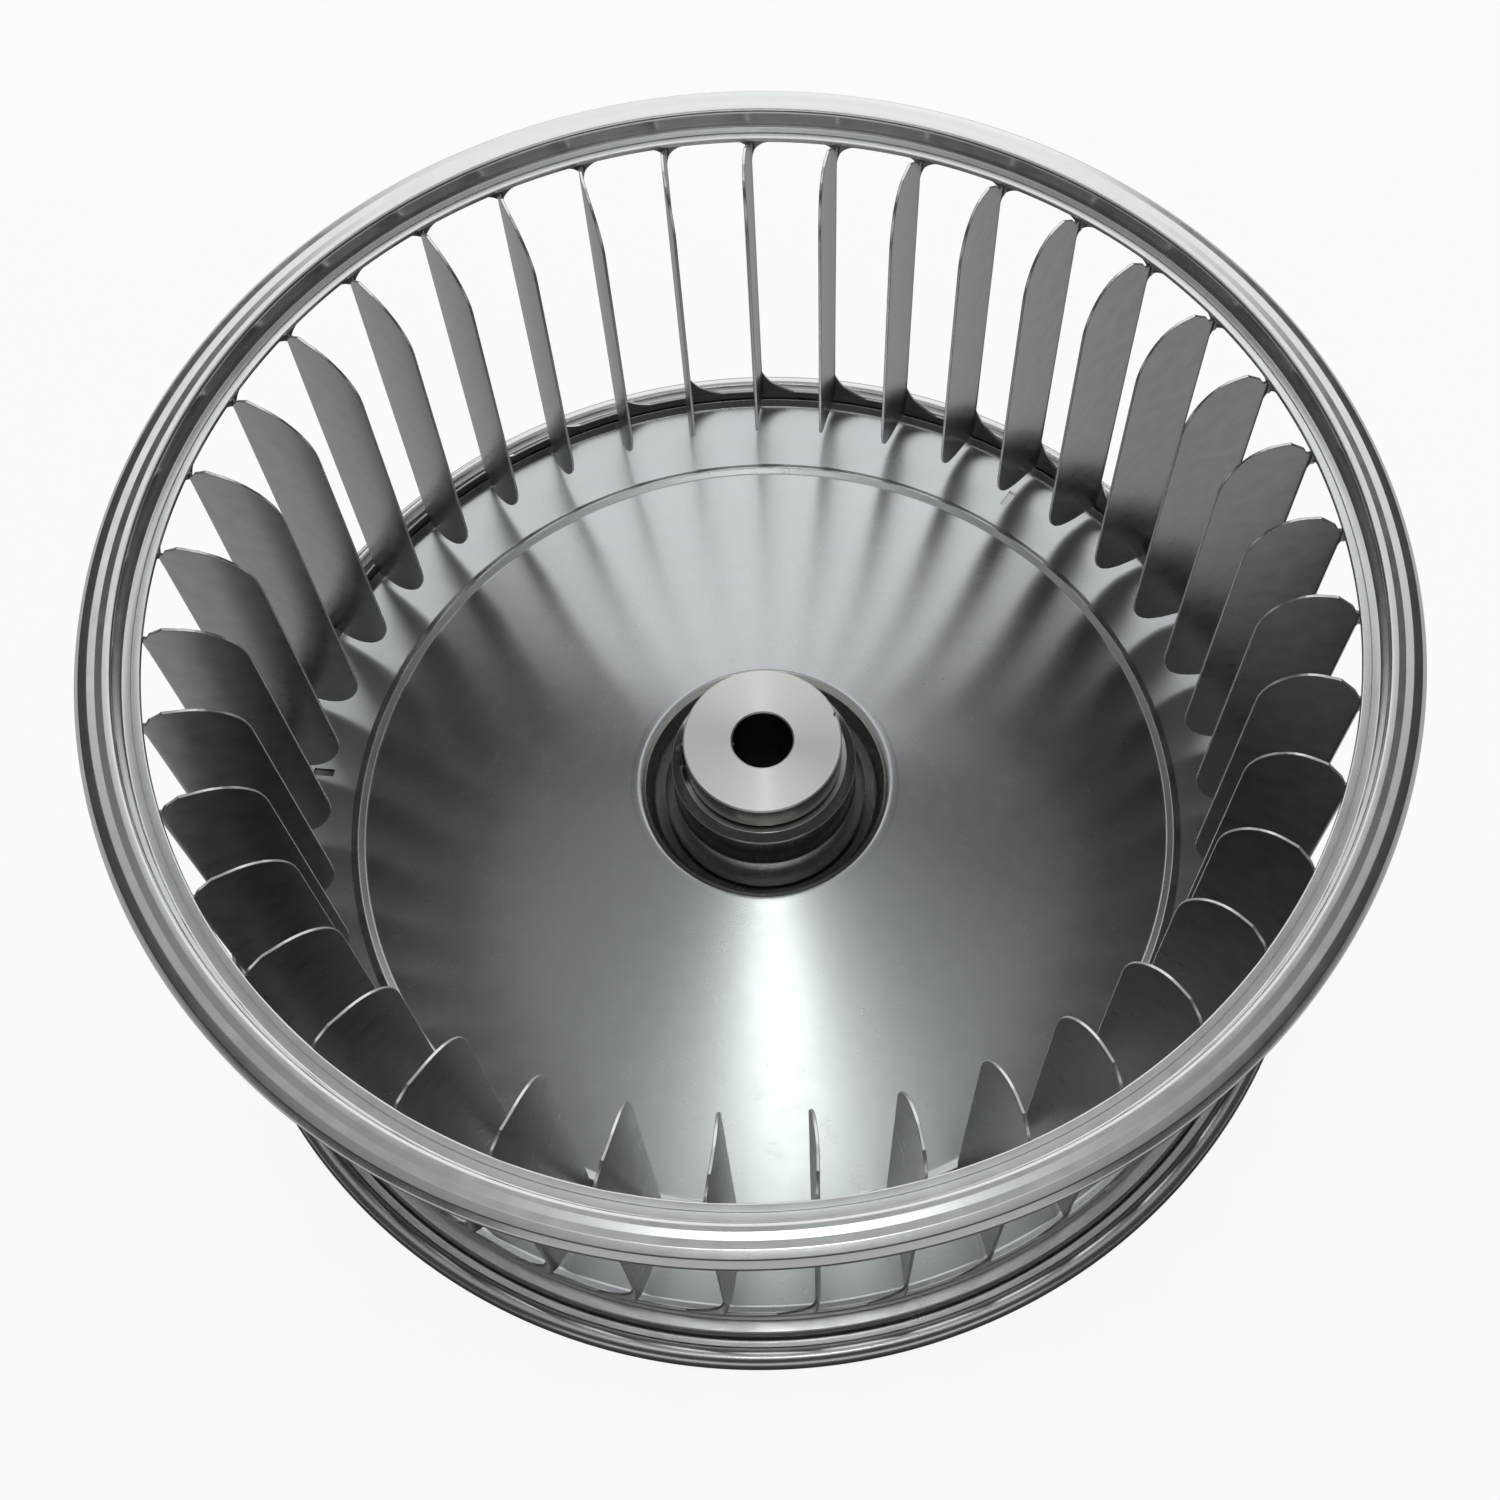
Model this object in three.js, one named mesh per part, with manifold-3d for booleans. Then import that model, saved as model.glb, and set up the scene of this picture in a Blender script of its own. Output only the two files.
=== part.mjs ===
// A single-inlet centrifugal blower wheel of the lanced-strip type, with a dished back plate and a
// set-screw hub. Millimetres. +Z is the wheel's axis, from the back plate towards the inlet. The
// origin is on the axis, in the plane that the rear ring stands on.
import * as THREE from 'three';
import { mergeVertices } from 'three/addons/utils/BufferGeometryUtils.js';
import Module from 'manifold-3d';

const wasm = await Module();
wasm.setup();

// ---- driving dimensions -------------------------------------------------------------------------
const wheelR = 120.65;          // outer radius of both end rings: 9 1/2 in across
const wheelH = 101.6;           // over both crowns: 4 in
const gap = 0.3;                // clearance kept between neighbouring sheets
const ringSides = 60;           // flats round the rings, bands and plate

// end rings
const ringSheet = 0.8;
const lipR = 109.9;             // inner edge of the hemmed lip
const floorDepth = 4.0;         // from the crown down to the channel floor
const wallR = 113.2;            // foot of the steep wall between the floor and the crown
const beadR = 116.4;            // middle of the crown
const crownHalf = 1.1;          // half the width of the flat on the crown
const shoulderDepth = 2.4;
const bottomDepth = 4.9;        // from the crown to the underside of the rolled edge
const curl = 2.15;              // radius of the rolled edge

// strip: bands and blades
const bladeCount = 39;
const firstBladeAngle = 4.3;    // degrees from +X to the first blade's root
const stripR = 111.3;           // middle of the strip's thickness
const stripSheet = 0.6;
const bandVisible = 3.8;        // rear band above the plate's flat margin
const inletBandHeight = 1.0;
const bladeChord = 18.2;
const bladeLean = 2.5;          // degrees between the chord and the radius, outer end clockwise from above
const bladeCamber = 0.7;        // bulge of the section off its chord
const bladeTopBelowCrown = 2.3;
const bladeBottomAboveMargin = 2.9;
const upperCorner = { x: 10.0, z: 12.0 };     // half axes of the rounded inner corners
const lowerCorner = { x: 13.6, z: 15.0 };
const inletWeb = { width: 3.8, height: 4.8 };
const inletCorner = { width: 1.7, height: 2.6 };
const rearWeb = { width: 8.2, height: 8.8 };

// back plate
const plateSheet = 1.2;
const marginZ = ringSheet + floorDepth + gap + plateSheet;   // top of the flat margin
const edgeRise = 1.3;           // the plate's upturned edge above its flat margin
const stepR = 91.0;
const stepRise = 0.9;
const rimR = 27.1;
const rimZ = 20.5;
const wellFloorZ = 11.5;
const wellR = 21.6;             // where the well's floor turns up
const slotCount = 3;
const slotR = 100.2;
const slotAngle = 51.0;         // degrees from +X to the first slot
const slotLength = 4.6;
const slotWidth = 1.8;

// hub and set screw
const boreR = 6.35;             // for a 1/2 in shaft
const hubTopZ = 40.0;
const hubBaseZ = 5.0;
const capR = 16.6;
const capH = 6.9;
const bodyR = 19.6;
const seatR = 22.0;
const neckR = 12.4;
const swageR = 14.2;            // the neck's end, spread under the plate
const grooveR = 15.3;
const grooveH = 1.2;
const hubSides = 40;
const screwAngle = 182.0;       // degrees from +X
const screwZ = hubTopZ - 3.6;
const screwR = 2.5;
const screwTip = boreR + gap;   // distance of the cup point from the axis
const screwLength = 11.5;
const hexFlats = 2.4;
const hexDepth = 3.2;

const RAD = Math.PI / 180;

// ---- materials ----------------------------------------------------------------------------------
const steel = (hex, roughness) => new THREE.MeshStandardMaterial({ color: hex, roughness, metalness: 1.0 });
const ringSteel = steel(0x9a9c9b, 0.34);
const stripSteel = steel(0x7f8180, 0.36);
const plateSteel = steel(0xa3a8aa, 0.24);
const hubSteel = steel(0xa9a89f, 0.3);
const screwSteel = steel(0x4a4a47, 0.45);

// ---- helpers ------------------------------------------------------------------------------------
function toSolid(geometry) {
  const bare = geometry.index ? geometry.toNonIndexed() : geometry.clone();
  bare.deleteAttribute('normal');
  bare.deleteAttribute('uv');
  const merged = mergeVertices(bare, 1e-4);
  const vertProperties = new Float32Array(merged.attributes.position.array);
  const triVerts = new Uint32Array(merged.index.array);
  const mesh = new wasm.Mesh({ numProp: 3, vertProperties, triVerts });
  return new wasm.Manifold(mesh);
}

function toGeometry(solid) {
  const mesh = solid.getMesh();
  const geometry = new THREE.BufferGeometry();
  geometry.setAttribute('position', new THREE.BufferAttribute(mesh.vertProperties, 3));
  geometry.setIndex(new THREE.BufferAttribute(mesh.triVerts, 1));
  geometry.computeVertexNormals();
  return geometry;
}

// A profile of [radius, height] points turned about Z. A profile off the axis is closed on itself.
function turned(profile, sides, closed = true) {
  const points = profile.map(([r, z]) => new THREE.Vector2(r, z));
  if (closed) {
    points.push(points[0].clone());
  }
  const geometry = new THREE.LatheGeometry(points, sides);
  geometry.rotateX(Math.PI / 2);
  return geometry;
}

// An outline in the X-Z plane, extruded both ways along Y.
function acrossY(shape, width, curveSegments) {
  const options = { depth: width, bevelEnabled: false, curveSegments };
  const geometry = new THREE.ExtrudeGeometry(shape, options);
  geometry.rotateX(Math.PI / 2);
  geometry.translate(0, width / 2, 0);
  return geometry;
}

function named(name, geometry, material) {
  const mesh = new THREE.Mesh(geometry, material);
  mesh.name = name;
  return mesh;
}

const wheel = new THREE.Group();

// ---- end rings ----------------------------------------------------------------------------------
// The stamping's section, with the depth measured from the crown into the wheel.
function ringSection() {
  const curlR = wheelR - curl;
  const curlDepth = bottomDepth - curl;
  const inner = curl - ringSheet;
  const outside = [
    [lipR, floorDepth + 0.3],
    [lipR + 0.4, floorDepth],
    [wallR, floorDepth],
    [wallR + 0.6, 0.9],
    [beadR - crownHalf - 0.9, 0.15],
    [beadR - crownHalf, 0.0],
    [beadR + crownHalf, 0.0],
    [wheelR - 1.3, 0.5],
    [wheelR - 0.35, 1.3],
    [wheelR, shoulderDepth],
    [wheelR, curlDepth + 0.4],
    [wheelR - 0.8, bottomDepth - 0.4],
    [curlR, bottomDepth],
    [curlR - curl + 0.6, bottomDepth - 0.6],
    [curlR - curl, curlDepth + 0.4],
  ];
  const inside = [
    [curlR - inner, curlDepth + 0.4],
    [curlR, curlDepth + inner],
    [curlR + inner, curlDepth + 0.4],
    [curlR + inner, shoulderDepth],
    [wheelR - 1.6, 0.5 + ringSheet],
    [beadR + crownHalf - 0.2, ringSheet],
    [beadR - crownHalf + 0.1, ringSheet],
    [wallR + 1.5, 1.2],
    [wallR + 0.9, floorDepth + ringSheet],
    [lipR, floorDepth + ringSheet],
  ];
  return [...outside, ...inside];
}

function addEndRings() {
  const section = ringSection();
  const inlet = section.map(([r, depth]) => [r, wheelH - depth]).reverse();
  wheel.add(named('inlet_end_ring', turned(inlet, ringSides), ringSteel));
  wheel.add(named('rear_end_ring', turned(section, ringSides), ringSteel));
}

// ---- the strip's margins ------------------------------------------------------------------------
const rearBandBottom = floorDepth + ringSheet + gap;
const rearBandTop = marginZ + bandVisible;
const inletBandTop = wheelH - floorDepth - ringSheet - gap;
const inletBandBottom = inletBandTop - inletBandHeight;

function band(bottom, top) {
  const inner = stripR - stripSheet / 2;
  const outer = stripR + stripSheet / 2;
  return turned([[inner, bottom], [outer, bottom], [outer, top], [inner, top]], ringSides);
}

function addBands() {
  wheel.add(named('inlet_strip_band', band(inletBandBottom, inletBandTop), stripSteel));
  wheel.add(named('rear_strip_band', band(rearBandBottom, rearBandTop), stripSteel));
}

// ---- blades -------------------------------------------------------------------------------------
// The section seen from above, with the root at x = stripR and the sheet running inwards.
function bladeSection() {
  const steps = 4;
  const lean = bladeLean * RAD;
  const faces = [[], []];
  for (let i = 0; i <= steps; i += 1) {
    const s = i / steps;
    const bulge = 4 * bladeCamber * s * (1 - s);
    const slope = Math.atan(4 * bladeCamber * (1 - 2 * s) / bladeChord);
    const x = stripR - bladeChord * s * Math.cos(lean) + bulge * Math.sin(lean);
    const y = bladeChord * s * Math.sin(lean) + bulge * Math.cos(lean);
    const heading = Math.PI - lean - slope;
    const nx = -Math.sin(heading) * stripSheet / 2;
    const ny = Math.cos(heading) * stripSheet / 2;
    faces[0].push(new THREE.Vector2(x + nx, y + ny));
    faces[1].push(new THREE.Vector2(x - nx, y - ny));
  }
  return new THREE.Shape([...faces[0], ...faces[1].reverse()]);
}

// A quarter ellipse at a corner of the blade's inner edge; up is 1 at the bottom corner and -1 at
// the top one.
function cornerArc(shape, edgeR, level, corner, up) {
  const from = up < 0 ? Math.PI / 2 : Math.PI;
  const to = from + Math.PI / 2;
  shape.absellipse(edgeR + corner.x, level + up * corner.z, corner.x, corner.z, from, to, false, 0);
}

// The blade's outline seen from the side: rounded inner corners, and a sloping shoulder that clears
// the ring's lip.
function bladeOutline() {
  const edgeR = stripR - bladeChord;
  const top = wheelH - bladeTopBelowCrown;
  const bottom = marginZ + bladeBottomAboveMargin;
  const outerR = stripR + 2;
  const shape = new THREE.Shape();
  shape.moveTo(outerR, rearBandTop + gap);
  shape.lineTo(outerR, inletBandBottom - gap);
  shape.lineTo(stripR - 0.9, inletBandBottom - gap);
  shape.lineTo(lipR - 1.0, wheelH - floorDepth - 0.5);
  shape.lineTo(lipR - 4.0, top);
  shape.lineTo(edgeR + upperCorner.x, top);
  cornerArc(shape, edgeR, top, upperCorner, -1);
  shape.lineTo(edgeR, bottom + lowerCorner.z);
  cornerArc(shape, edgeR, bottom, lowerCorner, 1);
  shape.lineTo(stripR - 1.6, bottom);
  shape.lineTo(stripR - 0.9, rearBandTop + gap);
  shape.closePath();
  return shape;
}

// The corner between a blade's root and a band: a triangle of the strip with a hollow long side.
// base is the height of its side along the band, up is 1 where it stands on the rear band and -1
// where it hangs from the inlet band, and side is -1 where it lies clockwise of the blade and 1 where
// it lies the other way. It is flat, because the strip curves by less than 0.3 mm over its width.
function web({ width, height }, base, up, side) {
  const top = base + up * height;
  const outline = new THREE.Shape();
  outline.moveTo(-side * stripSheet / 2, base);
  outline.lineTo(side * width, base);
  outline.quadraticCurveTo(side * width * 0.28, base + up * height * 0.24, 0, top);
  outline.lineTo(-side * stripSheet / 2, top);
  outline.closePath();
  const options = { depth: stripSheet, bevelEnabled: false, curveSegments: 3 };
  const geometry = new THREE.ExtrudeGeometry(outline, options);
  geometry.rotateX(Math.PI / 2);
  geometry.rotateZ(Math.PI / 2);
  geometry.translate(stripR - stripSheet / 2, 0, 0);
  return toSolid(geometry);
}

function bladeGeometry() {
  const sheet = new THREE.ExtrudeGeometry(bladeSection(), { depth: wheelH, bevelEnabled: false });
  const outline = acrossY(bladeOutline(), 12, 3);
  const blade = toSolid(sheet).intersect(toSolid(outline));
  const upper = web(inletWeb, inletBandBottom - gap, -1, -1);
  const corner = web(inletCorner, inletBandBottom - gap, -1, 1);
  const lower = web(rearWeb, rearBandTop + gap, 1, -1);
  return toGeometry(blade.add(upper).add(corner).add(lower));
}

function addBlades() {
  const geometry = bladeGeometry();
  for (let i = 0; i < bladeCount; i += 1) {
    const number = String(i + 1).padStart(2, '0');
    const blade = named(`blade_${number}`, geometry, stripSteel);
    blade.rotation.z = (firstBladeAngle + 360 * i / bladeCount) * RAD;
    wheel.add(blade);
  }
}

// ---- back plate ---------------------------------------------------------------------------------
function addBackPlate() {
  const edgeR = stripR - stripSheet / 2 - gap;
  const holeR = neckR + gap;
  const coneFootZ = marginZ + 0.1;
  const top = [
    [holeR, wellFloorZ],
    [wellR, wellFloorZ],
    [wellR + 2.6, wellFloorZ + 2.0],
    [rimR - 1.2, rimZ - 1.0],
    [rimR, rimZ],
    [rimR + 1.6, rimZ - 0.4],
    [stepR - 1.9, coneFootZ],
    [stepR - 0.2, marginZ + stepRise],
    [stepR + 1.6, marginZ],
    [edgeR - 2.4, marginZ],
    [edgeR - 0.7, marginZ + 0.4],
    [edgeR, marginZ + edgeRise],
  ];
  const under = [
    [edgeR, marginZ - plateSheet],
    [stepR - 1.9, coneFootZ - plateSheet],
    [rimR + 0.6, rimZ - plateSheet - 0.3],
    [wellR + 3.0, wellFloorZ + 0.6],
    [wellR + 0.6, wellFloorZ - plateSheet],
    [holeR, wellFloorZ - plateSheet],
  ];
  const profile = [...top, ...under].reverse();
  let plate = toSolid(turned(profile, ringSides));
  for (let i = 0; i < slotCount; i += 1) {
    const slot = new THREE.BoxGeometry(slotLength, slotWidth, plateSheet * 4);
    slot.translate(slotR, 0, marginZ);
    slot.rotateZ((slotAngle + 360 * i / slotCount) * RAD);
    plate = plate.subtract(toSolid(slot));
  }
  wheel.add(named('back_plate', toGeometry(plate), plateSteel));
}

// ---- hub ----------------------------------------------------------------------------------------
function addHub() {
  const grooveTop = hubTopZ - capH;
  const seatZ = wellFloorZ + gap;
  const neckEndZ = wellFloorZ - plateSheet - gap;
  const profile = [
    [boreR, hubBaseZ],
    [neckR - 0.6, hubBaseZ],
    [swageR, neckEndZ - 1.6],
    [swageR - 0.6, neckEndZ],
    [neckR, neckEndZ],
    [neckR, seatZ],
    [seatR - 0.6, seatZ],
    [seatR - 0.2, seatZ + 5.6],
    [bodyR, seatZ + 8.6],
    [bodyR, grooveTop - 2 * grooveH],
    [capR + 1.0, grooveTop - grooveH],
    [grooveR, grooveTop - grooveH],
    [grooveR, grooveTop],
    [capR, grooveTop],
    [capR, hubTopZ - 0.4],
    [capR - 0.4, hubTopZ],
    [boreR + 0.8, hubTopZ],
    [boreR, hubTopZ - 0.8],
  ];
  let hub = toSolid(turned(profile, hubSides));
  const hole = new THREE.CylinderGeometry(screwR + gap, screwR + gap, capR, 16);
  hole.rotateZ(-Math.PI / 2);
  hole.translate(boreR / 2 + capR / 2, 0, screwZ);
  hole.rotateZ(screwAngle * RAD);
  hub = hub.subtract(toSolid(hole));
  wheel.add(named('hub', toGeometry(hub), hubSteel));
}

// ---- set screw ----------------------------------------------------------------------------------
// Made along +X from the cup point out, then turned to its place round the hub.
function addSetScrew() {
  const profile = [
    [0, 0.7],
    [1.1, 0],
    [1.7, 0],
    [screwR, 0.9],
    [screwR, screwLength - 0.6],
    [screwR - 0.6, screwLength],
    [0, screwLength],
  ];
  const body = turned(profile, 14, false);
  const hexR = hexFlats / 2 / Math.cos(Math.PI / 6);
  const socket = new THREE.CylinderGeometry(hexR, hexR, hexDepth * 2, 6);
  socket.rotateX(Math.PI / 2);
  socket.translate(0, 0, screwLength);
  const geometry = toGeometry(toSolid(body).subtract(toSolid(socket)));
  geometry.rotateY(Math.PI / 2);
  geometry.translate(screwTip, 0, 0);
  const screw = named('set_screw', geometry, screwSteel);
  screw.rotation.z = screwAngle * RAD;
  screw.position.z = screwZ;
  wheel.add(screw);
}

addEndRings();
addBands();
addBlades();
addBackPlate();
addHub();
addSetScrew();

export default wheel;
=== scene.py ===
"""Looks for a centrifugal blower wheel: fine surfaces, finishes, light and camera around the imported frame.

Lengths inside the shape functions are millimetres, and MM turns them into metres as a mesh is made.
The wheel stands on its rear ring with its axis along +Z and its inlet up.
"""

import math

import bmesh
import bpy
from mathutils import Matrix, Vector


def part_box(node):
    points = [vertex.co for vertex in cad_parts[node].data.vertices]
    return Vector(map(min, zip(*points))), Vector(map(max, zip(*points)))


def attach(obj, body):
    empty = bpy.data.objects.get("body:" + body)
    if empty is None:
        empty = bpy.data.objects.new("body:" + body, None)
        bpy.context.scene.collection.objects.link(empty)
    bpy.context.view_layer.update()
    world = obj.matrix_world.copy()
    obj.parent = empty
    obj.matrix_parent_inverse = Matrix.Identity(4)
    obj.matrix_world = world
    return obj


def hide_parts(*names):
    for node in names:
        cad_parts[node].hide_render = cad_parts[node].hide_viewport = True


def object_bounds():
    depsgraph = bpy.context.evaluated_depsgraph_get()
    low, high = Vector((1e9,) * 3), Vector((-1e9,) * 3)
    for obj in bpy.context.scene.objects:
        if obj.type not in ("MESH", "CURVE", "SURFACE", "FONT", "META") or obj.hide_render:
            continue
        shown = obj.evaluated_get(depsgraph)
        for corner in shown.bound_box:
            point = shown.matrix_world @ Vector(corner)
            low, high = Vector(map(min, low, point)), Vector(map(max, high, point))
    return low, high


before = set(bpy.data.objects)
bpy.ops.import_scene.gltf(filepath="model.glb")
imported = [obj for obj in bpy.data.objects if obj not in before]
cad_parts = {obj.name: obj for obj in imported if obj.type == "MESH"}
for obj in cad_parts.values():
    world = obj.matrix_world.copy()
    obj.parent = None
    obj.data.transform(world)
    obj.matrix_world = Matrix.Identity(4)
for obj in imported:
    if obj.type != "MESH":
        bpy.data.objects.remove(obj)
cad_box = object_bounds()

MM = 0.001
SHARP_ANGLE = 28    # edges that turn by more than this many degrees are left sharp


def reach(node):
    """A node's radius from the axis, and the heights of its bottom and top, in millimetres."""
    low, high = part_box(node)
    return high[1] / MM, low[2] / MM, high[2] / MM


# ---- sizes --------------------------------------------------------------------------------------
wheel_r, _, wheel_h = reach("inlet_end_ring")
strip_outer_r, rear_band_bottom, rear_band_top = reach("rear_strip_band")
_, inlet_band_bottom, inlet_band_top = reach("inlet_strip_band")
plate_r, _, rim_z = reach("back_plate")
_, hub_bottom, hub_top = reach("hub")

strip_sheet = 0.6
strip_r = strip_outer_r - strip_sheet / 2
clearance = 0.3     # between neighbouring pieces
round_sides = 360   # one degree each
hub_sides = 240

ring_sheet = 0.8
lip_r = wheel_r - 10.75
floor_depth = 4.0
crown_r = wheel_r - 4.25
bottom_depth = 4.9  # of the rolled edge's end, below the crown
curl_r = 2.15

blade_count = 39
first_blade_angle = math.radians(4.3)
blade_lean = math.radians(2.5)
blade_camber = 0.7
blade_inner_r = strip_r - 18.2
blade_top = wheel_h - 2.3
blade_bottom_rise = 2.9     # from the plate's flat margin to the blade's free lower edge
bend_r = 1.3                # where the blade's root leaves the strip
cut_chamfer = 0.08
rear_web = (8.2, 8.8)       # width along the band and height up the blade
inlet_web = (3.8, 4.8)
inlet_corner = (1.9, 3.0)
web_seam = 0.02             # between a web and its band
web_root = -0.7             # where the webs end on the blade, along the sheet
corner_root = -0.9

plate_sheet = 1.2
margin_z = rear_band_bottom + plate_sheet
edge_z = margin_z + 1.3     # top of the upturned edge
step_r = 91.0
rim_r = 27.1
well_z = 11.5               # floor of the well
slot_r = 100.2
slot_length = 4.6
slot_angles = (51, 171, 291)

bore_r = 6.35
cap_r = 16.6
groove_r = 15.3
groove_top = hub_top - 6.9
body_r = 19.6
seat_r = 22.0
neck_r = 12.4
edge_break = 0.3            # chamfer on the turned face's edges
stake_angle = math.radians(17.0)
stake_r = 0.65
stake_depth = 1.1
screw_angle = math.radians(182.0)
screw_z = hub_top - 3.6
screw_r = 2.5
screw_tip = bore_r + clearance
screw_length = 11.5
thread_pitch = 0.8
thread_depth = 0.42
hex_flat = 1.2              # half the width across the socket's flats
hex_depth = 3.0


# ---- mesh helpers -------------------------------------------------------------------------------
def rounded(corners, steps=6):
    """A closed outline of (r, z, fillet) corners, with each corner that has a fillet rounded."""
    points = []
    for i, (r, z, fillet) in enumerate(corners):
        here = Vector((r, z))
        if fillet == 0:
            points.append(here)
            continue
        back = Vector(corners[i - 1][:2]) - here
        ahead = Vector(corners[(i + 1) % len(corners)][:2]) - here
        cut = fillet / math.tan(back.angle(ahead) / 2)
        cut = min(cut, 0.48 * back.length, 0.48 * ahead.length)
        start = here + back.normalized() * cut
        end = here + ahead.normalized() * cut
        for k in range(steps + 1):
            t = k / steps
            points.append(start * (1 - t) ** 2 + here * 2 * t * (1 - t) + end * t ** 2)
    return points


def finish_mesh(bm, name, sharp=SHARP_ANGLE):
    """Turns the faces outward, smooths them up to the sharp angle, and makes the mesh."""
    bmesh.ops.recalc_face_normals(bm, faces=bm.faces[:])
    for face in bm.faces:
        face.smooth = True
    for edge in bm.edges:
        edge.smooth = edge.calc_face_angle(math.pi) < math.radians(sharp)
    mesh = bpy.data.meshes.new(name)
    bm.to_mesh(mesh)
    bm.free()
    return mesh


def add_object(name, mesh):
    """An object in the scene that shows the mesh."""
    piece = bpy.data.objects.new(name, mesh)
    bpy.context.scene.collection.objects.link(piece)
    return piece


def turned(profile, sides=round_sides):
    """A bmesh of a closed profile turned about Z, with a row of faces centred on each whole step."""
    bm = bmesh.new()
    loops = []
    for i in range(sides):
        angle = (i + 0.5) * math.tau / sides
        across = Vector((math.cos(angle), math.sin(angle), 0)) * MM
        loops.append([bm.verts.new(across * p.x + Vector((0, 0, p.y * MM))) for p in profile])
    for i, here in enumerate(loops):
        there = loops[(i + 1) % sides]
        for k in range(len(profile)):
            n = (k + 1) % len(profile)
            bm.faces.new((here[k], there[k], there[n], here[n]))
    return bm


def cut_away(piece, cutter):
    """Takes the cutter's volume out of the piece for good."""
    modifier = piece.modifiers.new("cut", "BOOLEAN")
    modifier.object = cutter
    modifier.solver = "EXACT"
    graph = bpy.context.evaluated_depsgraph_get()
    mesh = bpy.data.meshes.new_from_object(piece.evaluated_get(graph))
    piece.modifiers.clear()
    piece.data = mesh
    bpy.data.objects.remove(cutter)


def resharpen(piece):
    """Marks the smooth and sharp edges again after a cut."""
    bm = bmesh.new()
    bm.from_mesh(piece.data)
    piece.data = finish_mesh(bm, piece.name)


# ---- finishes -----------------------------------------------------------------------------------
GRAIN_DEPTH = 3e-7          # metres
TOOL_MARK_DEPTH = 8e-7
TOOL_MARK_SPACING = 0.0004


class Nodes:
    """A material's node tree, with short calls for the few nodes that the finishes share."""

    def __init__(self, name):
        self.material = bpy.data.materials.new(name)
        self.material.use_nodes = True
        self.tree = self.material.node_tree
        self.shader = self.tree.nodes["Principled BSDF"]
        self.place = self.add("ShaderNodeTexCoord").outputs["Object"]

    def add(self, kind, **settings):
        node = self.tree.nodes.new(kind)
        for key, value in settings.items():
            setattr(node, key, value)
        return node

    def link(self, source, target):
        self.tree.links.new(source, target)

    def math(self, operation, a, b):
        node = self.add("ShaderNodeMath", operation=operation)
        for socket, value in zip(node.inputs, (a, b)):
            if isinstance(value, (int, float)):
                socket.default_value = value
            else:
                self.link(value, socket)
        return node.outputs[0]

    def noise(self, scale, stretch=(1, 1, 1), detail=3, source=None):
        """Noise with a feature size of about 1 / scale metres, times the stretch along each axis."""
        mapping = self.add("ShaderNodeMapping")
        mapping.inputs["Scale"].default_value = [scale / s for s in stretch]
        self.link(source or self.place, mapping.inputs["Vector"])
        node = self.add("ShaderNodeTexNoise")
        node.inputs["Scale"].default_value = 1.0
        node.inputs["Detail"].default_value = detail
        self.link(mapping.outputs[0], node.inputs["Vector"])
        return node.outputs["Fac"]

    def spread(self, factor, low, high):
        """The middle of a noise, 0.3 to 0.7, spread from low to high."""
        node = self.add("ShaderNodeMapRange")
        node.inputs["From Min"].default_value = 0.3
        node.inputs["From Max"].default_value = 0.7
        node.inputs["To Min"].default_value = low
        node.inputs["To Max"].default_value = high
        self.link(factor, node.inputs["Value"])
        return node.outputs[0]

    def tint(self, factor, dark, light):
        """The base colour, from dark at a factor of 0 to light at 1."""
        node = self.add("ShaderNodeMix", data_type="RGBA")
        node.inputs[6].default_value = (*dark, 1)
        node.inputs[7].default_value = (*light, 1)
        self.link(factor, node.inputs[0])
        self.link(node.outputs[2], self.shader.inputs["Base Color"])

    def bump(self, height, depth):
        """Relief of that depth in metres."""
        node = self.add("ShaderNodeBump")
        node.inputs["Strength"].default_value = 1.0
        node.inputs["Distance"].default_value = depth
        self.link(height, node.inputs["Height"])
        self.link(node.outputs[0], self.shader.inputs["Normal"])

    def beyond(self, centre, inner, outer):
        """0 within the inner radius of a centre and 1 past the outer one, all in millimetres."""
        away = self.add("ShaderNodeVectorMath", operation="DISTANCE")
        away.inputs[1].default_value = [c * MM for c in centre]
        self.link(self.place, away.inputs[0])
        node = self.add("ShaderNodeMapRange")
        node.inputs["From Min"].default_value = inner * MM
        node.inputs["From Max"].default_value = outer * MM
        self.link(away.outputs["Value"], node.inputs["Value"])
        return node.outputs[0]

    def turning(self, spacing):
        """Noise that changes along the radius and the height only, as tool marks do."""
        split = self.add("ShaderNodeSeparateXYZ")
        self.link(self.place, split.inputs[0])
        across = self.math("MULTIPLY", split.outputs[0], split.outputs[0])
        along = self.math("MULTIPLY", split.outputs[1], split.outputs[1])
        radius = self.math("SQRT", self.math("ADD", across, along), 0)
        joined = self.add("ShaderNodeCombineXYZ")
        self.link(radius, joined.inputs[0])
        self.link(split.outputs[2], joined.inputs[2])
        return self.noise(1 / spacing, detail=1, source=joined.outputs[0])


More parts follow.
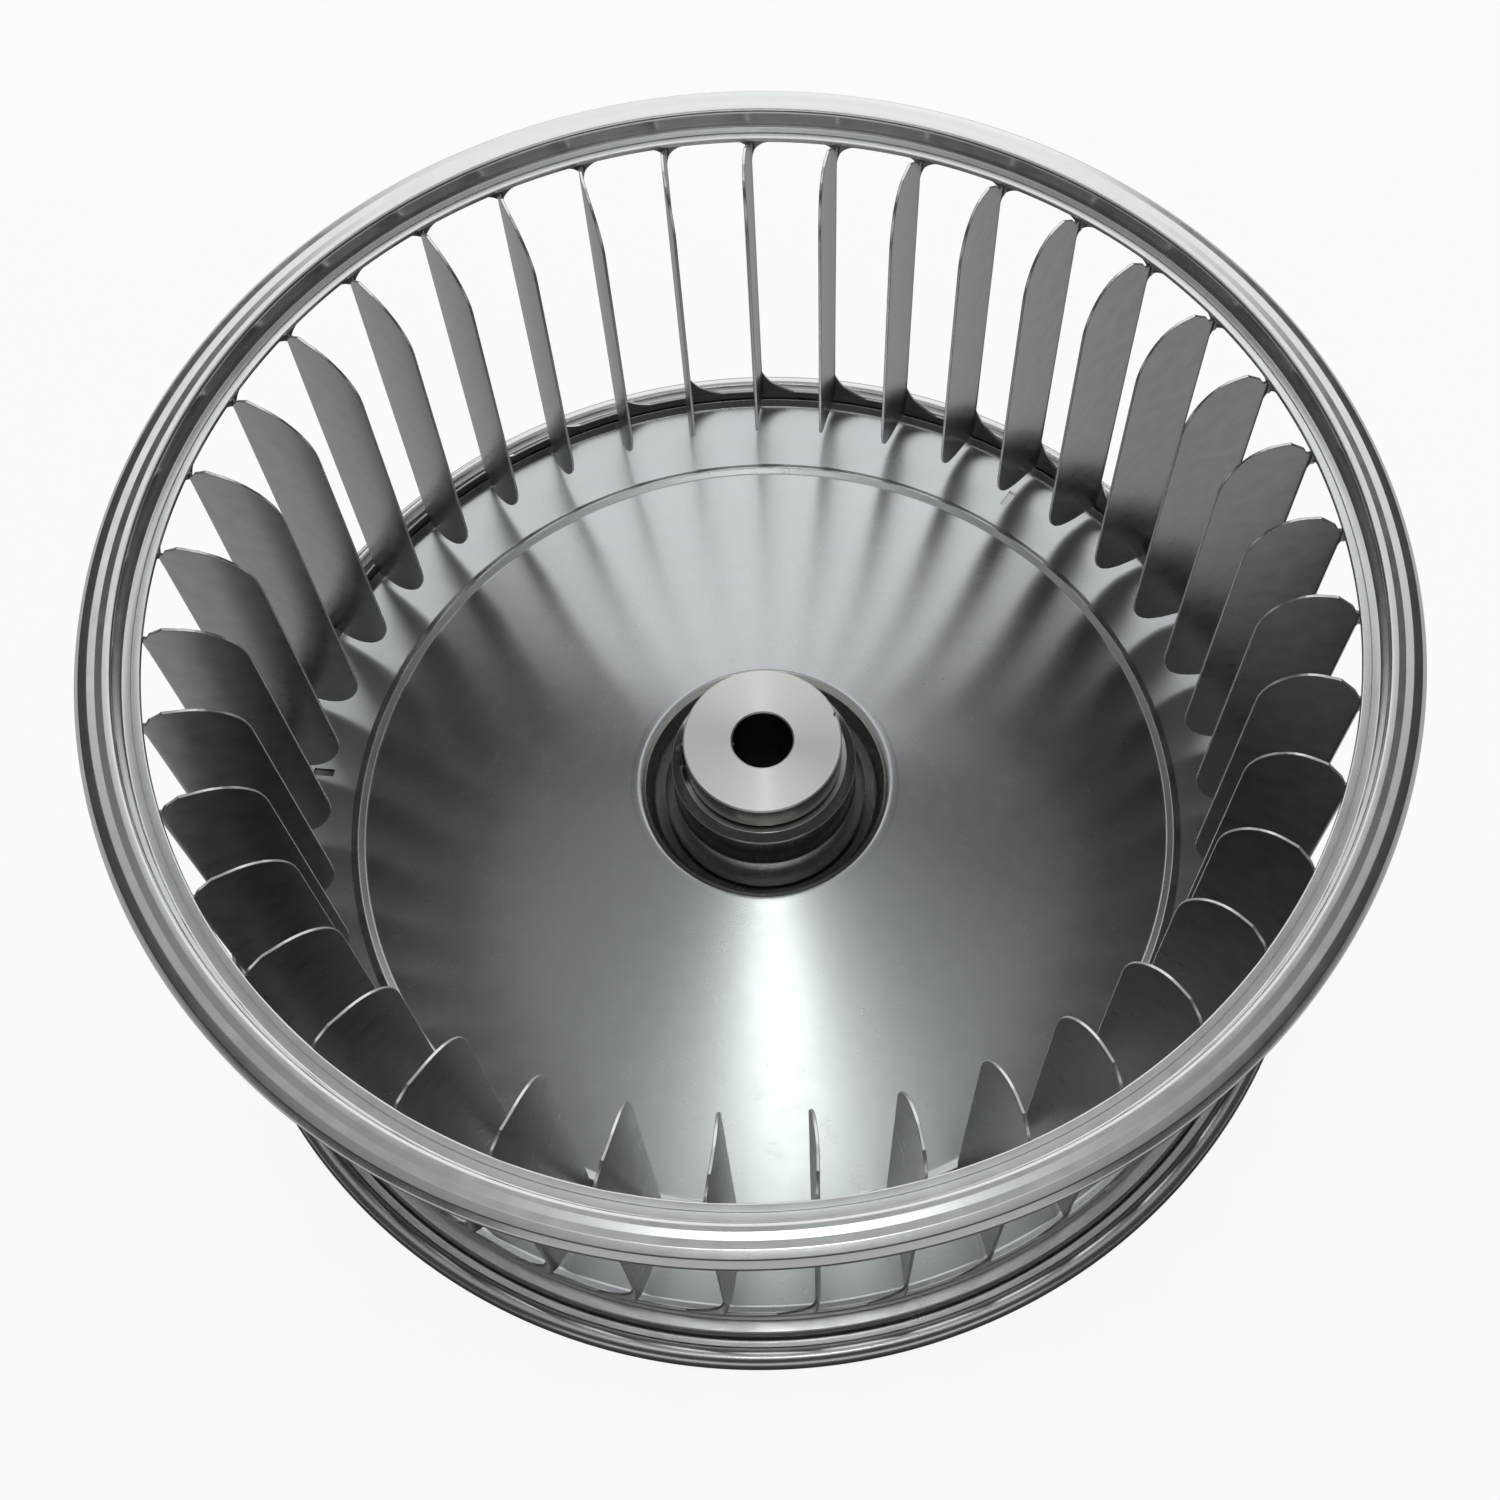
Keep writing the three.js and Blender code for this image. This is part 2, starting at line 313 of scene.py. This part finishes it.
def sheet_steel(name, dark, light, rough_low, rough_high):
    """Rolled zinc-coated sheet: satin, with faint mottling a few millimetres across.

    The mesh's "cut" attribute is 1 on a sheared edge, which is painted in the light colour in full: a
    painted highlight along the edge.
    """
    nodes = Nodes(name)
    nodes.shader.inputs["Metallic"].default_value = 1.0
    mottle = nodes.noise(260, detail=4)
    fine = nodes.noise(1500, stretch=(6, 6, 1), detail=2)
    cut = nodes.add("ShaderNodeAttribute", attribute_name="cut").outputs["Fac"]
    # painted highlight: the sheared edges take the light colour; the mottling, up to 0.15, is the sheet's
    # own tone
    nodes.tint(nodes.math("MAXIMUM", nodes.spread(mottle, 0, 0.15), cut), dark, light)
    grain = nodes.math("ADD", nodes.math("MULTIPLY", mottle, 0.6), nodes.math("MULTIPLY", fine, 0.4))
    nodes.link(nodes.spread(grain, rough_low, rough_high), nodes.shader.inputs["Roughness"])
    nodes.bump(fine, GRAIN_DEPTH)
    return nodes.material


def turned_steel(name):
    """Lathe-turned steel: its highlights fan out across the tool marks, most on the faced top. Its base
    colour is painted much lighter on the faced top than on the sides: a painted highlight on the top and
    painted shade on the sides.
    """
    nodes = Nodes(name)
    nodes.shader.inputs["Metallic"].default_value = 1.0
    nodes.shader.inputs["Anisotropic Rotation"].default_value = 0.25
    split = nodes.add("ShaderNodeSeparateXYZ")
    nodes.link(nodes.place, split.inputs[0])
    face = nodes.math("GREATER_THAN", split.outputs[2], (hub_top - edge_break) * MM)
    fan = nodes.math("ADD", nodes.math("MULTIPLY", face, 0.55), 0.35)
    nodes.link(fan, nodes.shader.inputs["Anisotropic"])
    tangent = nodes.add("ShaderNodeTangent", direction_type="RADIAL", axis="Z")
    nodes.link(tangent.outputs[0], nodes.shader.inputs["Tangent"])
    marks = nodes.turning(TOOL_MARK_SPACING)
    # painted highlight and shade: the faced top is tinted 0.8 toward the light colour and the sides stay
    # dark; the tool marks add 0.15 of real tone
    light = nodes.math("ADD", nodes.math("MULTIPLY", face, 0.8), nodes.math("MULTIPLY", marks, 0.15))
    nodes.tint(light, (0.42, 0.41, 0.38), (0.94, 0.93, 0.88))
    rough = nodes.math("ADD", nodes.math("MULTIPLY", face, 0.12), 0.20)
    nodes.link(rough, nodes.shader.inputs["Roughness"])
    nodes.bump(marks, TOOL_MARK_DEPTH)
    return nodes.material


def black_steel(name):
    """Black-finished steel, worn lighter in places."""
    nodes = Nodes(name)
    nodes.shader.inputs["Metallic"].default_value = 1.0
    wear = nodes.noise(900, detail=3)
    nodes.tint(nodes.spread(wear, 0, 1), (0.10, 0.10, 0.10), (0.24, 0.24, 0.23))
    nodes.link(nodes.spread(wear, 0.35, 0.5), nodes.shader.inputs["Roughness"])
    return nodes.material


def studio_floor(name):
    """A pale sweep, burnt out to white for the camera all round the wheel, as in a catalogue picture.

    In the wheel's reflections it is a softer grey, and dark under and before the wheel, where its glow is
    left out as a painted shadow.
    """
    nodes = Nodes(name)
    nodes.shader.inputs["Base Color"].default_value = (0.2, 0.2, 0.2, 1)
    nodes.shader.inputs["Roughness"].default_value = 0.9
    nodes.shader.inputs["Emission Color"].default_value = (1, 1, 1, 1)
    seen = nodes.add("ShaderNodeLightPath").outputs["Is Camera Ray"]
    # painted shadow: for the camera the glow stops inside the wheel's footprint, so the floor under the
    # wheel stays dark
    around = nodes.math("MULTIPLY", nodes.beyond((0, 0, 0), wheel_r - 12, wheel_r), seen)
    # painted shadow: the glow seen in reflections starts only past a circle set 60 mm to the front, so the
    # floor under and before the wheel stays dark
    past_painted_shadow = nodes.beyond((0, -60, 0), wheel_r + 4, wheel_r + 29)
    burnt_out = nodes.math("MULTIPLY", around, 0.9)
    reflected = nodes.math("MULTIPLY", past_painted_shadow, 0.4)
    glow = nodes.math("MAXIMUM", burnt_out, reflected)
    nodes.link(glow, nodes.shader.inputs["Emission Strength"])
    return nodes.material


ring_steel = sheet_steel("ring_steel", (0.78, 0.79, 0.79), (0.95, 0.96, 0.96), 0.20, 0.28)
# strip_steel's light colour shows only on the blades' sheared edges, where it is a painted highlight
strip_steel = sheet_steel("strip_steel", (0.34, 0.35, 0.35), (0.85, 0.86, 0.86), 0.26, 0.34)
plate_steel = sheet_steel("plate_steel", (0.60, 0.62, 0.63), (0.75, 0.77, 0.78), 0.25, 0.28)
hub_steel = turned_steel("hub_steel")
screw_steel = black_steel("screw_steel")


def settle(piece, material, body, slot, *nodes):
    """Gives a piece its finish and ties it to the frame."""
    piece.data.materials.clear()
    piece.data.materials.append(material)
    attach(piece, body)
    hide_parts(*nodes)


# ---- end rings ----------------------------------------------------------------------------------
def ring_section():
    """(r, depth, fillet) corners, with the depth measured from the crown into the wheel."""
    seam_r = lip_r + 1.6
    seam_depth = 0.4
    wall_r = lip_r + 3.3
    curl_steps = 12
    curl_mid = wheel_r - curl_r
    curl_depth = bottom_depth - curl_r
    outside = [
        (lip_r, floor_depth + ring_sheet, 0.3),
        (lip_r, floor_depth, 0.35),
        (seam_r - 0.16, floor_depth, 0),
        (seam_r - 0.06, floor_depth + seam_depth, 0),
        (seam_r + 0.06, floor_depth + seam_depth, 0),
        (seam_r + 0.16, floor_depth, 0),
        (wall_r, floor_depth, 0.4),
        (wall_r + 0.6, 0.1, 0.9),
        (crown_r - 1.1, 0.0, 0.6),
        (crown_r + 0.2, 0.15, 0.8),
        (crown_r + 1.6, 0.05, 0.8),
        (wheel_r - 1.1, 0.4, 0.7),
        (wheel_r, 1.5, 0.8),
    ]
    turns = [k / curl_steps for k in range(curl_steps + 1)]
    outer_curl = [curl_point(curl_mid, curl_depth, curl_r, turn) for turn in turns]
    inner_curl = [curl_point(curl_mid, curl_depth, curl_r - ring_sheet, 1 - turn) for turn in turns]
    inside = [
        (wheel_r - ring_sheet, 2.1, 0.6),
        (wheel_r - 1.7, 1.2, 0.6),
        (wall_r + 1.4, 0.95, 0.8),
        (wall_r + 0.85, floor_depth + ring_sheet, 0.4),
    ]
    return outside + outer_curl + inner_curl + inside


def curl_point(r, depth, radius, turn):
    """A point on the rolled edge: turn is 0 at the skirt and 1 at the end of the roll."""
    angle = math.pi * turn
    return (r + radius * math.cos(angle), depth + radius * math.sin(angle), 0)


def add_end_rings():
    corners = ring_section()
    for node, sign, crown_z in (("inlet_end_ring", -1, wheel_h), ("rear_end_ring", 1, 0.0)):
        profile = rounded([(r, crown_z + sign * depth, fillet) for r, depth, fillet in corners])
        piece = add_object("fine_" + node, finish_mesh(turned(profile), node))
        settle(piece, ring_steel, "wheel", "ring_steel", node)


# ---- strip --------------------------------------------------------------------------------------
def add_bands():
    """The strip's two margins, as plain bands with broken edges."""
    edge_round = 0.1
    heights = {
        "inlet_strip_band": (inlet_band_bottom, inlet_band_top),
        "rear_strip_band": (rear_band_bottom, rear_band_top),
    }
    inner = strip_r - strip_sheet / 2
    for node, (bottom, top) in heights.items():
        profile = rounded([
            (inner, bottom, edge_round),
            (strip_outer_r, bottom, edge_round),
            (strip_outer_r, top, edge_round),
            (inner, top, edge_round),
        ], steps=2)
        piece = add_object("fine_" + node, finish_mesh(turned(profile), node))
        settle(piece, strip_steel, "wheel", "strip_steel", node)


root_slope = 4 * blade_camber / (strip_r - blade_inner_r)
root_angle = blade_lean + math.atan(root_slope)
root_r = strip_r - bend_r * (1 - math.sin(root_angle))
blade_chord = (root_r - blade_inner_r) / math.cos(blade_lean)
bend_length = bend_r * (math.pi / 2 - root_angle)


def blade_curve(s):
    """A point of the blade's section seen from above, and its direction, at s along the sheet.

    s is 0 where the sheet leaves the strip's bend and grows inwards. Below 0 it follows the bend
    and then the strip.
    """
    if s >= 0:
        t = s / blade_chord
        bulge = 4 * blade_camber * t * (1 - t)
        slope = 4 * blade_camber * (1 - 2 * t) / blade_chord
        lean = Vector((-math.cos(blade_lean), math.sin(blade_lean)))
        side = Vector((math.sin(blade_lean), math.cos(blade_lean)))
        return Vector((root_r, 0)) + lean * s + side * bulge, (lean + side * slope).normalized()
    turn = min(-s, bend_length) / bend_r
    heading = root_angle + turn
    x = root_r + bend_r * (math.sin(heading) - math.sin(root_angle))
    y = bend_r * (math.cos(heading) - math.cos(root_angle))
    rest = max(0.0, -s - bend_length)
    x -= rest ** 2 / (2 * strip_r)
    return Vector((x, y - rest)), Vector((-math.cos(heading), math.sin(heading)))


def quarter(centre, half, start, steps=10):
    """Points on a quarter of an ellipse, anticlockwise from the start angle."""
    points = []
    for k in range(steps + 1):
        angle = start + k / steps * math.pi / 2
        points.append((centre[0] + half[0] * math.cos(angle), centre[1] + half[1] * math.sin(angle)))
    return points


def web_curve(tip_s, root_s, height, base, up, steps=8):
    """The hollow long side of a web, from its point on the band to its point on the blade's root.

    up is 1 for a web that rises from its band and -1 for one that hangs from it.
    """
    tip = Vector((tip_s, base))
    root = Vector((root_s, base + up * height))
    hollow = Vector((tip_s * 0.3, base + up * height * 0.2))
    points = []
    for k in range(steps + 1):
        t = k / steps
        points.append(tuple(tip * (1 - t) ** 2 + hollow * 2 * t * (1 - t) + root * t ** 2))
    return points


def blade_outline():
    """The flat blade's outline as (s, z) points, anticlockwise with s to the right.

    low and high are the half-axes of the ellipses that round the free corners.
    """
    bottom = margin_z + blade_bottom_rise
    low = (13.6, 15.0)
    high = (10.0, 12.0)
    rear_base = rear_band_top + web_seam
    inlet_base = inlet_band_bottom - web_seam
    past_bend = bend_length - bend_r
    rear_curve = web_curve(-past_bend - rear_web[0], web_root, rear_web[1], rear_base, 1)
    inlet_curve = web_curve(-past_bend - inlet_web[0], web_root, inlet_web[1], inlet_base, -1)
    outline = [(-0.4, rear_base), (0.7, bottom)]
    outline += quarter((blade_chord - low[0], bottom + low[1]), low, -math.pi / 2)
    outline += quarter((blade_chord - high[0], blade_top - high[1]), high, 0)
    outline += [
        (root_r - lip_r + 4.0, blade_top),
        (root_r - lip_r + 1.0, wheel_h - floor_depth - 0.5),
        (0.4, inlet_base),
    ]
    outline += inlet_curve
    outline += rear_curve[::-1]
    return outline


def blade_mesh():
    """The outline cut at the folds, given the sheet's two faces and an edge, and bent to its section."""
    flat = bmesh.new()
    flat.faces.new([flat.verts.new((s, z, 0)) for s, z in blade_outline()])
    flat.normal_update()
    bmesh.ops.triangulate(flat, faces=flat.faces[:], ngon_method="EAR_CLIP")
    folds = [-bend_length * k / 7 for k in range(8)]
    folds += [-bend_length - k for k in range(1, 7)]
    folds += [blade_chord * k / 20 for k in range(1, 20)]
    for s in folds:
        geometry = flat.verts[:] + flat.edges[:] + flat.faces[:]
        bmesh.ops.bisect_plane(flat, geom=geometry, dist=1e-5, plane_co=(s, 0, 0), plane_no=(1, 0, 0))
    flat.normal_update()
    bm = bmesh.new()
    cut = bm.verts.layers.float.new("cut")
    layers = {}
    for vert in flat.verts:
        layers[vert.index] = sheet_layers(bm, vert)
        # the chamfered edge's vertices get "cut" = 1, which paints a highlight along the sheared edge
        for between in layers[vert.index][1:-1]:
            between[cut] = 1.0
    for face in flat.faces:
        bm.faces.new([layers[v.index][0] for v in face.verts])
        bm.faces.new([layers[v.index][-1] for v in reversed(face.verts[:])])
    for edge in flat.edges:
        if edge.is_boundary:
            a, b = (layers[v.index] for v in edge.verts)
            for k in range(3):
                bm.faces.new((a[k], b[k], b[k + 1], a[k + 1]))
    flat.free()
    add_inlet_corner(bm)
    return finish_mesh(bm, "blade")


def add_inlet_corner(bm):
    """The strip's small corner under the inlet band, on the side of the blade away from its web."""
    base = inlet_band_bottom - web_seam
    outline = web_curve(inlet_corner[0], corner_root, inlet_corner[1], base, -1, steps=6)
    outline.append((corner_root, base))
    loops = []
    for depth in (strip_sheet / 2, -strip_sheet / 2):
        loops.append([bm.verts.new(Vector((strip_r + depth, y, z)) * MM) for y, z in outline])
    bm.faces.new(loops[0])
    bm.faces.new(loops[1][::-1])
    for k in range(len(outline)):
        bm.faces.new((loops[0][k - 1], loops[0][k], loops[1][k], loops[1][k - 1]))


def sheet_layers(bm, vert):
    """The sheet's two faces at a flat vertex, with a chamfered edge between them on the border."""
    s, z = vert.co.x, vert.co.y
    half = strip_sheet / 2
    if not vert.is_boundary:
        return [bm.verts.new(sheet_point(s, z, half)), bm.verts.new(sheet_point(s, z, -half))]
    inward = Vector((0, 0))
    for edge in vert.link_edges:
        if edge.is_boundary:
            along = (edge.verts[1].co - edge.verts[0].co).xy.normalized()
            normal = Vector((-along.y, along.x))
            middle = edge.link_faces[0].calc_center_median().xy - vert.co.xy
            inward += normal if normal.dot(middle) > 0 else -normal
    inward = inward.normalized() * cut_chamfer
    side = half - cut_chamfer
    places = [(inward, half), (Vector((0, 0)), side), (Vector((0, 0)), -side), (inward, -half)]
    return [bm.verts.new(sheet_point(s + off.x, z + off.y, depth)) for off, depth in places]


def sheet_point(s, z, depth):
    """The bent place in metres of a flat point (s, z), at a depth from the middle of the sheet."""
    point, direction = blade_curve(s)
    return Vector((point.x - direction.y * depth, point.y + direction.x * depth, z)) * MM


def add_blades():
    mesh = blade_mesh()
    for i in range(blade_count):
        node = f"blade_{i + 1:02d}"
        piece = add_object("fine_" + node, mesh)
        piece.rotation_euler.z = first_blade_angle + i * math.tau / blade_count
        settle(piece, strip_steel, "wheel", "strip_steel", node)


# ---- back plate ---------------------------------------------------------------------------------
def plate_profile():
    """The dished plate's section, from the hole round the hub's neck out to the upturned edge and back."""
    hole_r = neck_r + clearance
    slot_in = slot_r - slot_length / 2
    slot_out = slot_r + slot_length / 2
    under_z = margin_z - plate_sheet
    top = [
        (hole_r, well_z, 0),
        (21.6, well_z, 1.5),
        (24.4, well_z + 3.0, 3.0),
        (25.9, rim_z - 1.0, 0.8),
        (rim_r, rim_z, 1.6),
        (rim_r + 2.0, rim_z - 0.5, 1.5),
        (step_r - 1.9, margin_z + 0.12, 0.9),
        (step_r - 0.3, margin_z + 0.9, 0.6),
        (step_r + 1.2, margin_z, 0.9),
        (slot_in, margin_z, 0),
        (slot_out, margin_z, 0),
        (plate_r - 1.5, margin_z, 1.2),
        (plate_r - 0.5, edge_z - 0.3, 0.6),
        (plate_r - 0.2, edge_z, 0.2),
        (plate_r, edge_z, 0),
    ]
    under = [
        (plate_r, under_z, 0.9),
        (slot_out, under_z, 0),
        (slot_in, under_z, 0),
        (step_r + 1.0, under_z, 0.5),
        (step_r - 0.4, under_z + 0.6, 0.5),
        (step_r - 1.9, under_z + 0.12, 0.6),
        (rim_r + 1.3, rim_z - plate_sheet - 0.4, 0.9),
        (rim_r - 0.4, rim_z - plate_sheet - 1.2, 0.8),
        (25.2, well_z + 1.8, 2.0),
        (22.2, well_z - plate_sheet, 1.5),
        (hole_r, well_z - plate_sheet, 0),
    ]
    return rounded(top + under)


def open_slots(bm):
    """Takes out the one-degree faces of each slot, top and bottom, and walls the opening."""
    inner = (slot_r - slot_length / 2) * MM
    outer = (slot_r + slot_length / 2) * MM
    for degrees in slot_angles:
        angle = math.radians(degrees)
        across = Vector((math.cos(angle), math.sin(angle), 0))
        cut = []
        for face in bm.faces:
            middle = face.calc_center_median()
            off_line = (middle.xy - across.xy * middle.dot(across)).length
            if inner < middle.xy.length < outer and off_line < 0.5 * MM and middle.dot(across) > 0:
                cut.append(face)
        border = [e for face in cut for e in face.edges]
        bmesh.ops.delete(bm, geom=cut, context="FACES_ONLY")
        bmesh.ops.bridge_loops(bm, edges=list(set(border)))


def add_back_plate():
    bm = turned(plate_profile())
    open_slots(bm)
    piece = add_object("fine_back_plate", finish_mesh(bm, "back_plate"))
    settle(piece, plate_steel, "wheel", "plate_steel", "back_plate")


# ---- hub ----------------------------------------------------------------------------------------
def hub_profile():
    """The turned hub's section: bore, swaged neck, seat flange, body, groove and cap."""
    seat_z = well_z + clearance
    neck_end = well_z - plate_sheet - clearance
    return rounded([
        (bore_r, hub_bottom, 0),
        (neck_r - 0.6, hub_bottom, 0.5),
        (neck_r + 1.8, neck_end - 1.6, 0.8),
        (neck_r + 1.2, neck_end, 0.3),
        (neck_r, neck_end, 0),
        (neck_r, seat_z, 0),
        (seat_r - 0.6, seat_z, 0.3),
        (seat_r - 0.2, seat_z + 5.6, 0.6),
        (body_r, seat_z + 8.6, 0.9),
        (body_r, groove_top - 2.4, 0.6),
        (cap_r + 1.0, groove_top - 1.2, 0.4),
        (groove_r, groove_top - 1.2, 0.2),
        (groove_r, groove_top, 0.2),
        (cap_r, groove_top, 0.25),
        (cap_r, hub_top - edge_break, 0),
        (cap_r - edge_break, hub_top, 0),
        (bore_r + edge_break, hub_top, 0),
        (bore_r, hub_top - edge_break, 0),
    ], steps=4)


def rod(name, radius, start, end, sides=48):
    """A plain rod between two points in millimetres, used as a cutter."""
    bm = bmesh.new()
    axis = Vector(end) - Vector(start)
    bmesh.ops.create_cone(
        bm,
        cap_ends=True,
        segments=sides,
        radius1=radius * MM,
        radius2=radius * MM,
        depth=axis.length * MM,
    )
    turn = Vector((0, 0, 1)).rotation_difference(axis).to_matrix().to_4x4()
    middle = (Vector(start) + Vector(end)) / 2 * MM
    bmesh.ops.transform(bm, matrix=Matrix.Translation(middle) @ turn, verts=bm.verts[:])
    return add_object(name, finish_mesh(bm, name))


def add_hub():
    piece = add_object("fine_hub", finish_mesh(turned(hub_profile(), hub_sides), "hub"))
    out = Vector((math.cos(screw_angle), math.sin(screw_angle), 0))
    level = Vector((0, 0, screw_z))
    hole = rod("screw_hole", screw_r + 0.15, level + out * 3, level + out * 30)
    cut_away(piece, hole)
    mark = Vector((math.cos(stake_angle), math.sin(stake_angle), 0)) * (cap_r - 0.1)
    mark_low = mark + Vector((0, 0, hub_top - stake_depth))
    mark_high = mark + Vector((0, 0, hub_top + 1))
    punch = rod("stake_mark", stake_r, mark_low, mark_high)
    cut_away(piece, punch)
    resharpen(piece)
    settle(piece, hub_steel, "wheel", "hub_steel", "hub")


# ---- set screw ----------------------------------------------------------------------------------
def screw_mesh():
    """Cup point at z = 0 and hexagon socket at the other end, with a real helical thread."""
    sides = 48
    rows = 96
    bm = bmesh.new()
    loops = []

    def ring(radius_at, z):
        verts = []
        for j in range(sides):
            angle = math.tau * j / sides
            radius = radius_at(angle)
            across = (radius * math.cos(angle) * MM, radius * math.sin(angle) * MM)
            verts.append(bm.verts.new((*across, z * MM)))
        loops.append(verts)

    def hexagon(angle):
        return hex_flat / math.cos((angle + math.pi / 6) % (math.pi / 3) - math.pi / 6)

    ring(lambda angle: 0.05, 0.8)
    ring(lambda angle: 1.1, 0.0)
    ring(lambda angle: 1.6, 0.0)
    for k in range(rows + 1):
        z = 0.7 + (screw_length - 1.2) * k / rows

        def crest(angle, z=z):
            phase = (z / thread_pitch - angle / math.tau) % 1.0
            taper = min(1.0, (z - 0.4) / 0.9, (screw_length - z) / 0.7)
            return (screw_r - 0.05) * (0.82 + 0.18 * taper) - thread_depth * abs(2 * phase - 1)

        ring(crest, z)
    ring(lambda angle: screw_r - 0.75, screw_length)
    ring(lambda angle: hexagon(angle) + 0.12, screw_length)
    ring(hexagon, screw_length - 0.15)
    ring(hexagon, screw_length - hex_depth)
    ring(lambda angle: 0.05, screw_length - hex_depth - 0.6)
    for low, high in zip(loops, loops[1:]):
        for j in range(sides):
            n = (j + 1) % sides
            bm.faces.new((low[j], low[n], high[n], high[j]))
    bm.faces.new(loops[0])
    bm.faces.new(loops[-1])
    lay = Matrix.Rotation(screw_angle, 4, "Z") @ Matrix.Rotation(math.pi / 2, 4, "Y")
    out = Vector((math.cos(screw_angle), math.sin(screw_angle), 0)) * screw_tip
    place = Matrix.Translation((out + Vector((0, 0, screw_z))) * MM)
    bmesh.ops.transform(bm, matrix=place @ lay, verts=bm.verts[:])
    return finish_mesh(bm, "set_screw", 40)


def add_set_screw():
    piece = add_object("fine_set_screw", screw_mesh())
    settle(piece, screw_steel, "set_screw", "screw_steel", "set_screw")


# ---- studio, in metres --------------------------------------------------------------------------
FLOOR_REACH = 4.0
SKY_STRENGTH = 0.05
CAMERA_PLACE = (0, -0.18163, 0.40218)
CAMERA_PITCH = math.radians(63.73)
CAMERA_YAW = math.radians(4.55)
CAMERA_ROLL = math.radians(0.45)
LENS = 46.71        # millimetres, on a sensor 36 wide
SHIFT_X = -0.0544


def add_floor():
    bm = bmesh.new()
    bmesh.ops.create_grid(bm, x_segments=1, y_segments=1, size=FLOOR_REACH)
    bmesh.ops.translate(bm, verts=bm.verts[:], vec=(0, 0, cad_box[0][2]))
    floor = add_object("floor", finish_mesh(bm, "floor"))
    floor.data.materials.append(studio_floor("floor"))


def soft_box(name, place, target, width, length, radiance, colour=(1, 1, 1)):
    """A rectangular lamp of even radiance, facing a point. Its length lies along Y as far as it can."""
    lamp = bpy.data.lights.new(name, "AREA")
    lamp.shape = "RECTANGLE"
    lamp.size = width
    lamp.size_y = length
    lamp.energy = radiance * math.pi * width * length
    lamp.color = colour
    holder = bpy.data.objects.new(name, lamp)
    bpy.context.scene.collection.objects.link(holder)
    back = (Vector(place) - Vector(target)).normalized()
    side = Vector((0, 1, 0)).cross(back).normalized()
    up = back.cross(side)
    holder.matrix_world = Matrix.Translation(place) @ Matrix((side, up, back)).transposed().to_4x4()


def add_lights():
    """A narrow strip over the front of the plate, two soft tops, and pale walls before and behind."""
    world = bpy.data.worlds.new("studio")
    world.use_nodes = True
    sky = world.node_tree.nodes["Background"]
    sky.inputs["Color"].default_value = (0.94, 0.98, 1.0, 1)
    sky.inputs["Strength"].default_value = SKY_STRENGTH
    bpy.context.scene.world = world
    near = Vector((0, -0.06, 0.65))
    far = Vector((0, -0.34, 1.41))
    middle = (near + far) / 2
    facing = Vector((0, near.z - far.z, far.y - near.y))
    soft_box("strip", middle, middle + facing, 0.10, (far - near).length, 5.0, (0.97, 1.0, 0.99))
    soft_box("core", (0.02, -0.06, 1.5), (0, 0, 0), 0.7, 0.7, 0.36, (0.96, 1.0, 0.99))
    soft_box("top", (-0.06, 0.05, 1.6), (0, 0, 0), 1.9, 1.7, 0.24, (0.96, 1.0, 0.99))
    soft_box("back", (0.08, 1.45, 1.3), (0, 0, 0.05), 1.55, 1.5, 1.0, (0.96, 0.98, 1.0))
    soft_box("low_back", (0, 1.9, 0.35), (0, 0, 0.05), 3.0, 0.7, 1.0)
    soft_box("low_front", (0, -1.8, 0.4), (0, 0, 0.05), 2.4, 0.7, 0.45)


def add_camera():
    """Stands before and above the inlet, looking down steeply, a little to the right of the axis."""
    data = bpy.data.cameras.new("camera")
    data.sensor_width = 36.0
    data.lens = LENS
    data.shift_x = SHIFT_X
    data.clip_start = 0.01
    camera = bpy.data.objects.new("camera", data)
    bpy.context.scene.collection.objects.link(camera)
    level_reach = math.cos(CAMERA_PITCH)
    ahead = Vector((
        math.sin(CAMERA_YAW) * level_reach,
        math.cos(CAMERA_YAW) * level_reach,
        -math.sin(CAMERA_PITCH),
    ))
    level = Vector((math.cos(CAMERA_YAW), -math.sin(CAMERA_YAW), 0))
    up = level.cross(ahead)
    right = level * math.cos(CAMERA_ROLL) + up * math.sin(CAMERA_ROLL)
    over = up * math.cos(CAMERA_ROLL) - level * math.sin(CAMERA_ROLL)
    turn = Matrix((right, over, -ahead)).transposed().to_4x4()
    camera.matrix_world = Matrix.Translation(CAMERA_PLACE) @ turn
    bpy.context.scene.camera = camera


add_end_rings()
add_bands()
add_blades()
add_back_plate()
add_hub()
add_set_screw()
add_floor()
add_lights()
add_camera()
bpy.context.scene.view_settings.view_transform = "Standard"
